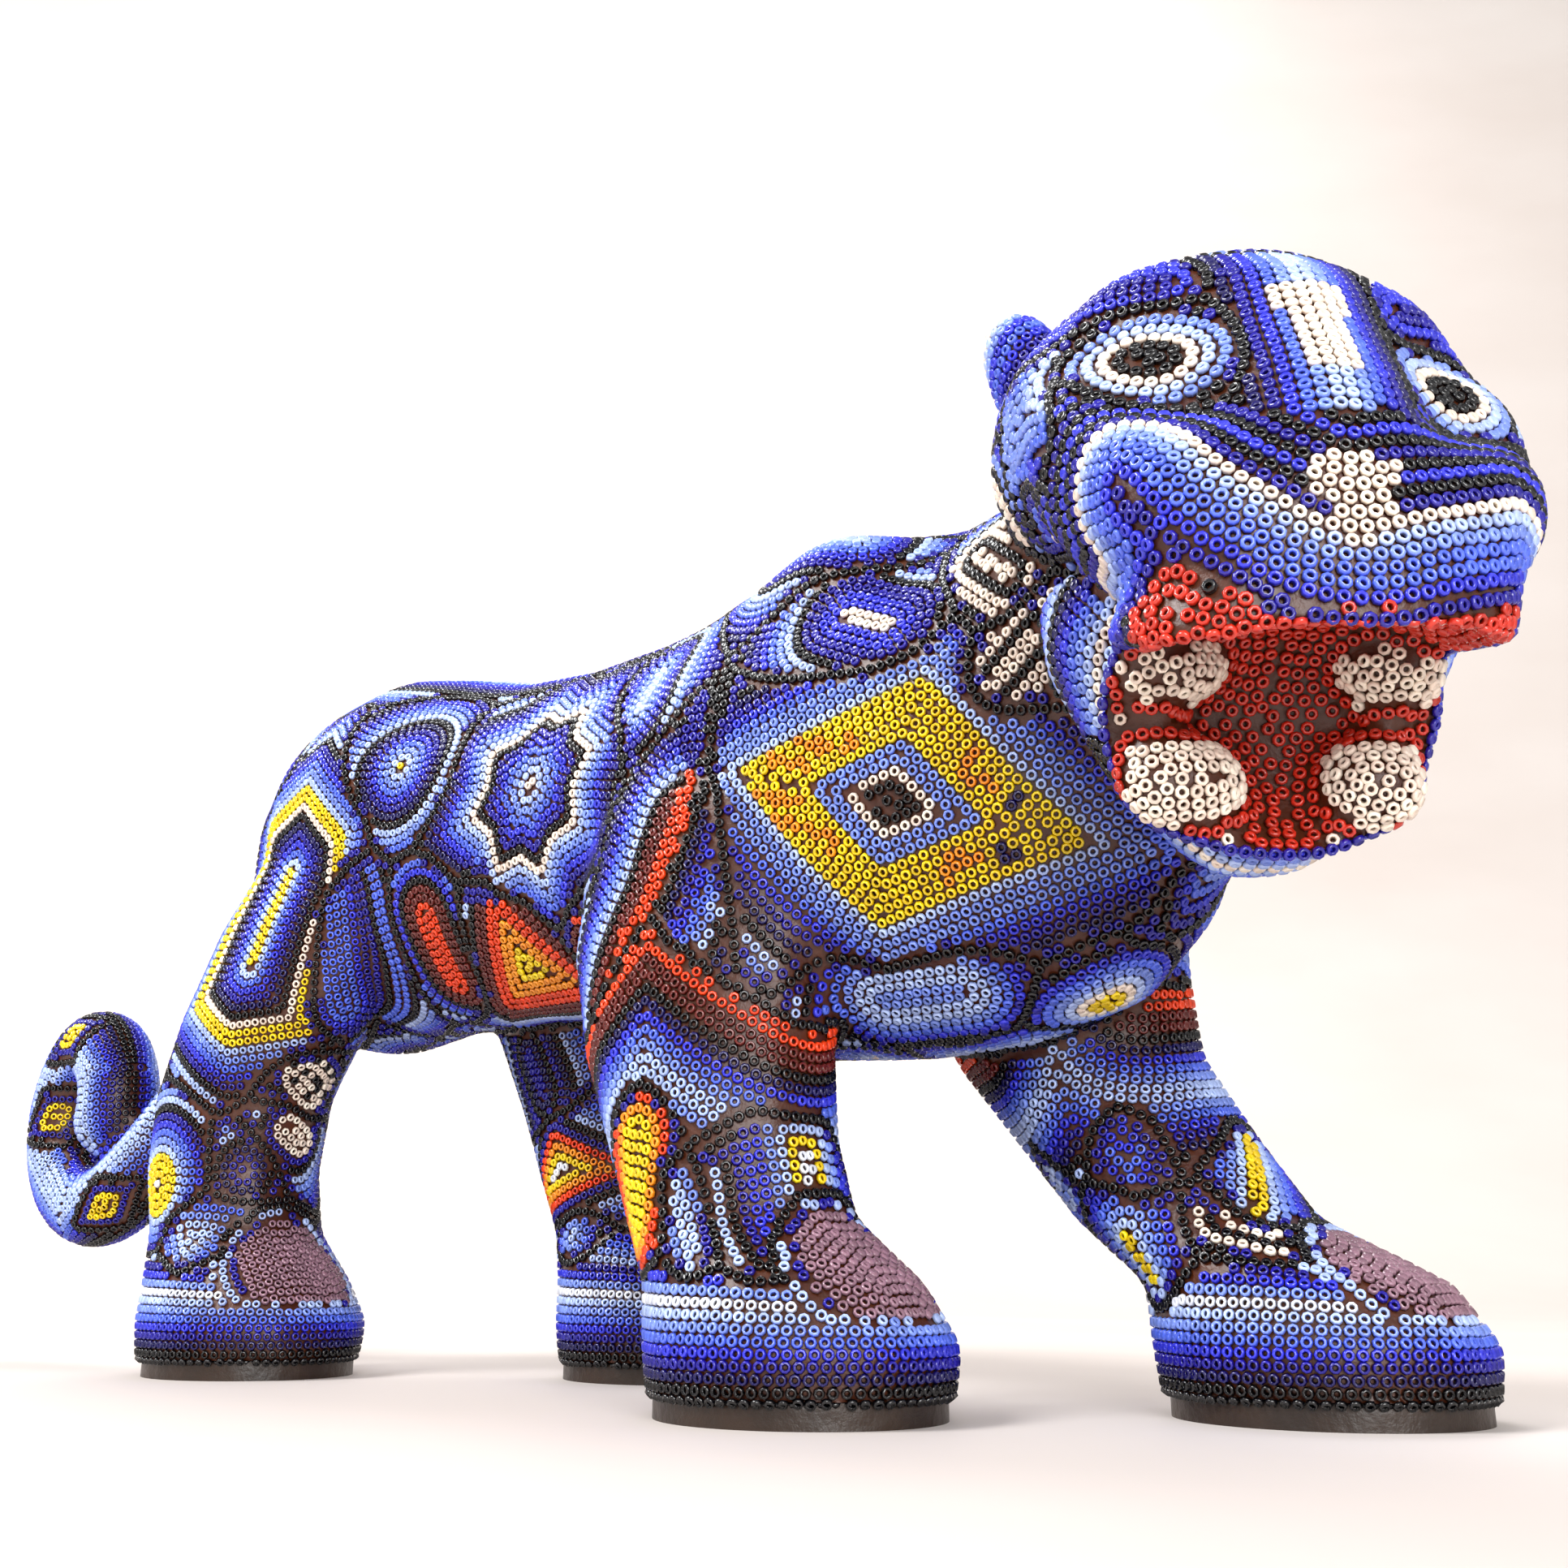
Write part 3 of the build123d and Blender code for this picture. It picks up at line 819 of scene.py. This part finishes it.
spot((-20, 46, 62), "WYYYLPPCVK", disc, 0, 6, leg, petal_tones)
leg = legs["rear_right"]
PANEL = sided((0, 8), (180, 8), (60, 17), (120, 17), (-70, 21), (-110, 21))
spot((-198, -41, 110), "YLBCVNKEYYLPBCVK", PANEL, -14, 19, leg | torso)
spot((-228, -49, 44), "WYYYLPBCVK", disc, 0, 8, leg, petal_tones)
spot((-198, -28, 69), "EEEVK", oval(3), 60, 2, leg, flecks)
spot((-203, -27, 56), "EEVK", oval(3), 60, 0, leg)
spot((-207, -38, 47), "VVNK", disc, 0, 0, leg)
spot((-212, -46, 31), "LLPBK", sided((90, 4), (215, 4), (-35, 4)), 0, 2, leg)
spot((-246, -32, 62), "ELPBCVK", oval(6), 0, 2, leg)
spot((-232, -10, 60), "LPBCVK", oval(8), 0, 0, leg)
spot((-240, -34, 92), "YLPBCVK", oval(6), 0, 2, leg)
spot((-205, -12, 80), "LPBCVK", oval(6), 0, 0, leg)
spot((-178, -36, 96), "BBCVVKBBK", oval(14), 8, 6, leg | trunk)
leg = legs["rear_left"]
spot((-146, 9, 47), "WYORVK", sided((50, 5), (130, 5), (-90, 5)), 20, 6, leg)
spot((-156, 9, 70), "VNKVNK", oval(6), 30, 2, leg)
spot((-140, 10, 32), "LPBCK", disc, 0, 0, leg)
spot((-150, 49, 60), "WYYYLPBCVK", disc, 0, 6, leg, petal_tones)
spot((-158, 47, 100), "YLBCVNKEYYLPBCVK", PANEL, 14, 16, leg | torso)
spot((-126, 30, 60), "ELPBCVK", oval(7), 0, 0, leg)
spot((-176, 30, 66), "YLPBCVK", oval(7), 0, 0, leg)
spot((-136, 48, 36), "LPBCVK", disc, 0, 0, leg)

# ---- Beads of the tail --------------------------------------------------------------------
# Rows run along the whole curl, darkest along its top and its underside.  Small yellow lozenges,
# each edged in black, are let in at intervals.
TAIL_LINE = np.array([
    (-222, 4, 122), (-242, -1, 106), (-257, -12, 84), (-270, -24, 59), (-297, -30, 41), (-320, -30, 57),
    (-319, -30, 76), (-306, -30, 86), (-294, -30, 77), (-293, -30, 65)], float)
nearest_run = np.full(len(skin), 1e9)
round_tail = np.zeros(len(skin))
for start, end in zip(TAIL_LINE[:-1], TAIL_LINE[1:]):
    run = (end - start) / np.linalg.norm(end - start)
    share = np.clip((skin - start) @ run, 0, np.linalg.norm(end - start))
    away = skin - start - share[:, None] * run
    far = np.linalg.norm(away, axis=1)
    outward = np.cross(run, (0.0, 1.0, 0.0))
    turn = np.arctan2(away @ outward, -away[:, 1])
    closer = far < nearest_run
    nearest_run[closer] = far[closer]
    round_tail[closer] = (abs(turn) * 11)[closer]
figure(np.where(tail_part, -4.0, OUT), round_tail, "LLPBCVNKKVCBPLPBCK", outlined=False)
for place in ((-279, -37, 40), (-312, -40, 66), (-262, -26, 78), (-306, -38, 88), (-290, -18, 44)):
    spot(place, "YYYKLPBC", lozenge(14, 9), 30, 12, tail_part)

# ---- Beads laid in their rows -------------------------------------------------------------
# Black beads go down first, along the lines where figures meet.  Each figure's rows follow, a
# bead at every pitch, then single beads fill the bare places, and each takes its row's colour.
CLOSEST = 0.82            # beads nearer than this share of a row, or of a pitch, would overlap
BARE = 0.80               # a place this share of a pitch from every bead takes one more
BLACK_EDGE = 0.8          # a figure's beads this near its neighbour are black, mm
VIOLET_EDGE = 1.7         # and those up to here are violet, mm
SWEEPS = 90               # passes over the skin before the evening of rows is called done
DOWNWARD = 1000           # rows are counted from this many below the first
claims = np.array([one["claim"] for one in figures], np.float32)
holder = claims.argmin(0)
ordered = np.partition(claims, 1, axis=0)
margin = (ordered[1] - ordered[0]) / 2


def level_runs(height, faces):
    """Runs of places where the height passes each half step, found face by face and joined up."""
    values = height[faces]
    lowest, highest = np.ceil(values.min(1) - 0.5), np.floor(values.max(1) - 0.5)
    ends = []
    for extra in range(5):        # no face is crossed by more rows than this
        step = lowest + extra
        use = step <= highest
        if not use.any():
            break
        value, face, mark = values[use], faces[use], step[use] + 0.5
        over = value > mark[:, None]
        crossed = over != np.roll(over, -1, axis=1)
        use = crossed.sum(1) == 2
        crossed, face, mark = crossed[use], face[use], mark[use]
        pair = []
        for corner in (crossed.argmax(1), 2 - crossed[:, ::-1].argmax(1)):
            row = np.arange(len(face))
            one, two = face[row, corner], face[row, (corner + 1) % 3]
            pair.append(np.stack([np.minimum(one, two), np.maximum(one, two), mark.astype(int)], 1))
        ends.append(np.stack(pair, 1))
    if not ends:
        return []
    ends = np.concatenate(ends).reshape(-1, 3)
    ends[:, 2] += DOWNWARD
    keys = (ends[:, 0] * len(height) + ends[:, 1]) * (4 * DOWNWARD) + ends[:, 2]
    _, first, number = np.unique(keys, return_index=True, return_inverse=True)
    unique = ends[first]
    mark = unique[:, 2] - DOWNWARD + 0.5
    one, two = height[unique[:, 0]], height[unique[:, 1]]
    share = np.clip((mark - one) / np.where(one == two, 1, two - one), 0, 1)
    links = [[] for _ in unique]
    for begin, end in number.reshape(-1, 2).tolist():
        if begin != end:
            links[begin].append(end)
            links[end].append(begin)
    seen = np.zeros(len(unique), bool)
    runs = []
    for loops in (False, True):
        for begin in range(len(unique)):
            if seen[begin] or (len(links[begin]) != 1 and not loops):
                continue
            run, here = [], begin
            while here is not None:
                seen[here] = True
                run.append(here)
                here = next((other for other in links[here] if not seen[other]), None)
            closed = loops and len(run) > 3 and begin in links[run[-1]]
            row = int(unique[run[0], 2] - DOWNWARD)
            runs.append((unique[run, 0], unique[run, 1], share[run], row, closed))
    return runs


def between(values, one, two, share):
    mixed = values[one].T * (1 - share) + values[two].T * share
    return mixed.T


def evened(one, mine):
    """The figure's rows again, measured over the skin so that they lie evenly apart."""
    used = skin_triangles[mine.any(1)]
    if one["even"] == "rim":
        sources = np.unique(used[~mine[mine.any(1)]])
        reach = np.full(len(skin), np.inf)
        reach[sources] = 0.4 * ROW
    else:
        inside = np.unique(used)
        low = max(one["rows"][inside].min(), 0.0)
        sources = inside[one["rows"][inside] < low + 1.3 * ROW]
        reach = np.full(len(skin), np.inf)
        reach[sources] = one["rows"][sources]
    wedges = []
    for corner in range(3):
        apex, first, second = (used[:, (corner + step) % 3] for step in range(3))
        one_way, other_way = skin[first] - skin[apex], skin[second] - skin[apex]
        a, b, c = (np.einsum("ij,ij->i", *pair) for pair in (
            (one_way, one_way), (one_way, other_way), (other_way, other_way)))
        over = np.maximum(a * c - b * b, 1e-9)
        wedges.append((apex, first, second, a ** 0.5, c ** 0.5, c / over, -b / over, a / over))
    for _ in range(SWEEPS):
        before = reach.copy()
        for apex, first, second, long, far, p, q, r in wedges:
            u, v = reach[first], reach[second]
            known = np.isfinite(u) & np.isfinite(v)
            u0, v0 = np.where(known, u, 0), np.where(known, v, 0)
            total = p + 2 * q + r
            slope = (p + q) * u0 + (q + r) * v0
            rest = p * u0 ** 2 + 2 * q * u0 * v0 + r * v0 ** 2 - 1
            root = slope ** 2 - total * rest
            wave = (slope + np.sqrt(np.maximum(root, 0))) / total
            ahead = (p * (u0 - wave) + q * (v0 - wave) < 0) & (q * (u0 - wave) + r * (v0 - wave) < 0)
            plain = np.minimum(u + long, v + far)
            np.minimum.at(reach, apex, np.where(known & ahead & (root > 0), wave, plain))
        told, retold = (np.where(np.isfinite(one_sweep), one_sweep, -1) for one_sweep in (before, reach))
        if np.allclose(told, retold, atol=1e-3):
            break
    return np.where(np.isfinite(reach), reach, one["rows"])


places, directions, makers, row_numbers, margins = [], [], [], [], []


def lay(runs, maker):
    """Beads at even steps along every run."""
    for one, two, share, row, closed in runs:
        line = between(skin, one, two, share)
        facing = between(arrows, one, two, share)
        edge = between(margin, one, two, share)
        if closed:
            line, facing, edge = (np.concatenate([part, part[:1]]) for part in (line, facing, edge))
        if len(line) > 3:
            line[1:-1] = (line[:-2] + 2 * line[1:-1] + line[2:]) / 4
        reach = np.concatenate([[0], np.cumsum(np.linalg.norm(np.diff(line, axis=0), axis=1))])
        if reach[-1] < 0.4 * PITCH:
            continue
        count = max(1, int(round(reach[-1] / PITCH)))
        at = (np.arange(count) + 0.5) * reach[-1] / count
        places.append(np.stack([np.interp(at, reach, line[:, axis]) for axis in range(3)], 1))
        directions.append(np.stack([np.interp(at, reach, facing[:, axis]) for axis in range(3)], 1))
        margins.append(np.interp(at, reach, edge))
        makers.append(np.full(count, maker))
        row_numbers.append(np.full(count, row))


SEAM = -1
for number, one in enumerate(figures):
    mine = (holder[skin_triangles] == number)
    if mine.any() and one["outlined"]:
        others = np.delete(claims, number, axis=0)
        ahead = claims[number] - others.min(0)
        mixed_faces = skin_triangles[mine.any(1) & ~mine.all(1)]
        lay(level_runs(ahead / 4 + 0.5, mixed_faces), SEAM)
for number, one in enumerate(figures):
    mine = (holder[skin_triangles] == number)
    if mine.any():
        if one["even"]:
            one["rows"] = evened(one, mine)
        lay(level_runs(one["rows"] / ROW, skin_triangles[mine.any(1)]), number)
places, directions = np.concatenate(places), np.concatenate(directions)
makers, row_numbers, margins = (np.concatenate(part) for part in (makers, row_numbers, margins))


def thinned(points, rank, gap):
    """Which beads stay, so that none lies within the gap of one of a lower rank."""
    tree = tree_of(points)
    stays = np.ones(len(points), bool)
    for number in np.argsort(rank, kind="stable").tolist():
        if stays[number]:
            for _, other, _ in tree.find_range(points[number], gap):
                if other != number:
                    stays[other] = False
    return stays


rank = 10 + np.where(makers >= 0, makers, 0) * 0.01 + margins.clip(-5, 5) * -0.5
stays = thinned(places, np.where(makers == SEAM, 0, rank), CLOSEST * ROW)
places, directions, makers, row_numbers, margins = (
    part[stays] for part in (places, directions, makers, row_numbers, margins))

# gaps left where rows meet are filled with single beads
fillers = np.concatenate([skin, skin[skin_triangles].mean(1)])
filler_facing = np.concatenate([arrows, arrows[skin_triangles].mean(1)])
filler_maker = np.concatenate([holder, holder[skin_triangles[:, 0]]])
rows_here = np.array([one["rows"] for one in figures], np.float32)[holder, np.arange(len(skin))]
filler_row = np.concatenate([rows_here, rows_here[skin_triangles[:, 0]]]) / ROW
filler_margin = np.concatenate([margin, margin[skin_triangles].mean(1)])
laid = tree_of(places)
room = np.array([laid.find(place)[2] for place in fillers.tolist()])
open_spots = room > BARE * PITCH
fillers, room = fillers[open_spots], room[open_spots]
stays = thinned(fillers, -room, CLOSEST * PITCH)
places = np.concatenate([places, fillers[stays]])
directions = np.concatenate([directions, filler_facing[open_spots][stays]])
makers = np.concatenate([makers, filler_maker[open_spots][stays]])
row_numbers = np.concatenate([row_numbers, np.floor(filler_row[open_spots][stays]).astype(int)])
margins = np.concatenate([margins, filler_margin[open_spots][stays]])
directions /= np.linalg.norm(directions, axis=1)[:, None]

# each bead takes its row's colour, unless the figure's own drawing or its black edge says another
tones = np.full(len(places), "K")
for number, one in enumerate(figures):
    mine = makers == number
    if not mine.any():
        continue
    spelled = one["tones"][:-1] if one["tones"].endswith("*") else one["tones"] + FADE * 6
    tones[mine] = [spelled[min(row, len(spelled) - 1)] if row >= 0 else FADE[row % len(FADE)]
                   for row in row_numbers[mine]]
    if one["detail"]:
        drawn = one["detail"](places[mine])
        tones[mine] = np.where(drawn == "", tones[mine], drawn)
    if one["outlined"]:
        near = margins[mine]
        tones[mine] = np.where(near < BLACK_EDGE, "K", np.where(near < VIOLET_EDGE, "V", tones[mine]))
shades = np.array([LETTERS.index(tone) for tone in tones]) * len(BATCHES)
shades = shades + RNG.integers(0, len(BATCHES), len(tones))

# ---- Beads handed over, part by part ------------------------------------------------------
# The one coat is told apart by what it covers: the trunk in five lengths, the neck, legs, tail,
# head, jaw and ears, then the eyes, toe caps, mouth and fangs.
SEATED = 0.55             # how far a bead's middle lies under the coat's face, mm
bead_part = np.array([owner[tree_of_coats.find_nearest(place)[2]]
                      for place in ((places + HOME) * 0.001).tolist()])
piece_of = np.array([COATS[number] for number in bead_part], dtype=object)
for number, one in enumerate(figures):
    if one["piece"]:
        piece_of[makers == number] = one["piece"]
piece_of[[name.startswith("eye_") and one < 0 for name, one in zip(piece_of, makers)]] = "beads_head"
seeds = numbers_from(4)


def finished(name, chosen, replaced, bead):
    piece = set_beads(name, places[chosen] - directions[chosen] * SEATED, directions[chosen],
                      shades[chosen], bead, next(seeds))
    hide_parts(*replaced)
    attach(piece, "root")


def those(*starts):
    return np.array([name.startswith(starts) for name in piece_of])


# where each length of the trunk starts and stops, mm from HOME, and the bead it is made with
LENGTHS = {
    "rump": (-400, -176, simple_bead), "loin": (-176, -132, simple_bead),
    "belly": (-132, -88, simple_bead), "ribs": (-88, -42, plain_bead), "chest": (-42, 200, plain_bead),
}
for name, (start, stop, bead) in LENGTHS.items():
    chosen = those("beads_trunk") & (places[:, 0] >= start) & (places[:, 0] < stop)
    finished(f"bead_coat_{name}", chosen, ["beads_trunk"], bead)
LIMBS = {
    "neck": plain_bead, "leg_front_right": plain_bead, "leg_front_left": plain_bead,
    "leg_rear_right": simple_bead, "leg_rear_left": simple_bead, "tail": simple_bead,
}
for name, bead in LIMBS.items():
    finished(f"bead_coat_{name}", those(f"beads_{name}"), [f"beads_{name}"], bead)
for name in ("head", "jaw", "ear_right", "ear_left"):
    finished(f"bead_coat_{name}", those(f"beads_{name}"), [f"beads_{name}"], fine_bead)
for side in ("right", "left"):
    finished(f"beaded_eye_{side}", those(f"eye_{side}"), [f"eye_{side}"], fine_bead)
for name in PAWS:
    finished(f"mauve_toes_{name}", those(f"toe_cap_{name}"), [f"toe_cap_{name}"], plain_bead)
finished("red_mouth", those("mouth"), ["mouth_lining"], fine_bead)
finished("cream_fangs", those("fang"), named("fang_"), fine_bead)
for ring in (simple_bead, plain_bead, fine_bead):
    bpy.data.objects.remove(ring)

# ---- Table, light and camera --------------------------------------------------------------
# A pale plaster table that runs up into a pale wall, under wide soft lamps.
plaster = Finish("pale_plaster")
streaks = plaster.add("ShaderNodeTexNoise", {}, {
    "Vector": plaster.add("ShaderNodeMapping", {}, {"Vector": plaster.place, "Scale": (1.2, 3.0, 6.0)}),
    "Scale": 1.6, "Detail": 4.0})
plaster.surface(Base_Color=plaster.mixed(streaks, linear(214, 208, 204), linear(198, 187, 180)),
                Roughness=0.55 + streaks * 0.2, Normal=plaster.bumped(streaks, 0.001))
profile = [(-1.6, 0.0), (0.55, 0.0)] + [
    (0.55 + 0.35 * sin(radians(step)), 0.35 - 0.35 * cos(radians(step))) for step in range(10, 91, 10)]
profile += [(0.9, 1.8)]
turn = radians(42)
sweep_points = [(cos(turn) * side - sin(turn) * depth, sin(turn) * side + cos(turn) * depth, height)
                for depth, height in profile for side in (-2.2, 2.2)]
sweep_faces = [(2 * step, 2 * step + 1, 2 * step + 3, 2 * step + 2) for step in range(len(profile) - 1)]
sweep_mesh = bpy.data.meshes.new("plaster_table")
sweep_mesh.from_pydata(sweep_points, [], sweep_faces)
sweep_mesh.materials.append(plaster.material)
table = placed("plaster_table", smoothed(sweep_mesh))

world = bpy.data.worlds.new("soft_room")
bpy.context.scene.world = world
world.use_nodes = True
world.node_tree.nodes["Background"].inputs["Color"].default_value = (1.0, 0.985, 0.97, 1.0)
world.node_tree.nodes["Background"].inputs["Strength"].default_value = 0.74
centre = Vector((0.0, 0.0, 0.09))
for name, place, size, power in (("key_lamp", (-0.5, -1.1, 1.3), 0.7, 30.0),
                                 ("fill_lamp", (1.2, -0.9, 0.5), 0.9, 20.0),
                                 ("back_lamp", (-0.4, 0.5, 1.4), 0.7, 10.0)):
    lamp = bpy.data.lights.new(name, "AREA")
    lamp.shape, lamp.size, lamp.energy = "DISK", size, power
    stand = placed(name, lamp)
    stand.location = place
    stand.rotation_euler = (centre - Vector(place)).to_track_quat("-Z", "Y").to_euler()

eye = bpy.data.cameras.new("camera")
eye.lens, eye.sensor_width = 37.08, 36.0
eye.clip_start = 0.01
CAMERA_FROM_HOME = Vector((160.04, -249.46, 24.4))    # mm, low and close before the paws
camera = placed("camera", eye)
camera.location = ((Vector(HOME) + CAMERA_FROM_HOME) * 0.001)
camera.rotation_euler = (radians(106.7), 0.0, radians(42.0))
bpy.context.scene.camera = camera
bpy.context.scene.view_settings.view_transform = "Standard"
